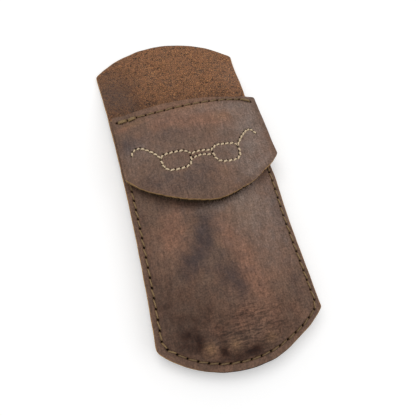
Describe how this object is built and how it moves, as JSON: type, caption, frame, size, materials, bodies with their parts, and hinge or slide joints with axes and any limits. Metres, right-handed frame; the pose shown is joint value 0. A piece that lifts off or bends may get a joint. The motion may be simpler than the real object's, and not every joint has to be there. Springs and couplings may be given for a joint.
{
  "type": "pen pouch",
  "caption": "Hand-stitched leather pen pouch with a tall back, an arched front pocket and a flap over its mouth that hooks on a shirt pocket.",
  "frame": {"origin": "middle of the pouch's outline, on the plane of the back panel's flat rest face", "axes": "+X across the pouch, +Y from the bottom up towards the mouth and the top of the back panel, +Z out of the front"},
  "size_m": [0.0671, 0.152, 0.0175],
  "materials": {
    "leather": "waxed pull-up leather, mottled grey-brown, flesh side bare",
    "seam_thread": "waxed linen thread, khaki",
    "motif_thread": "waxed linen thread, cream"
  },
  "bodies": {
    "pouch": {"back_panel": "leather", "front_panel": "leather", "flap_seam_strip": "leather", "side_seam_thread": "seam_thread", "mouth_seam_thread": "seam_thread"},
    "flap": {"flap_panel": "leather", "brow_thread": "motif_thread", "left_lens_thread": "motif_thread", "right_lens_thread": "motif_thread", "bridge_thread": "motif_thread"}
  },
  "joints": [
    {"name": "flap_lift", "type": "hinge", "parent": "pouch", "child": "flap", "pos_m": [0, 0.0304, 0.0155], "axis": [-1, 0, 0], "range_deg": [0, 100]}
  ]
}
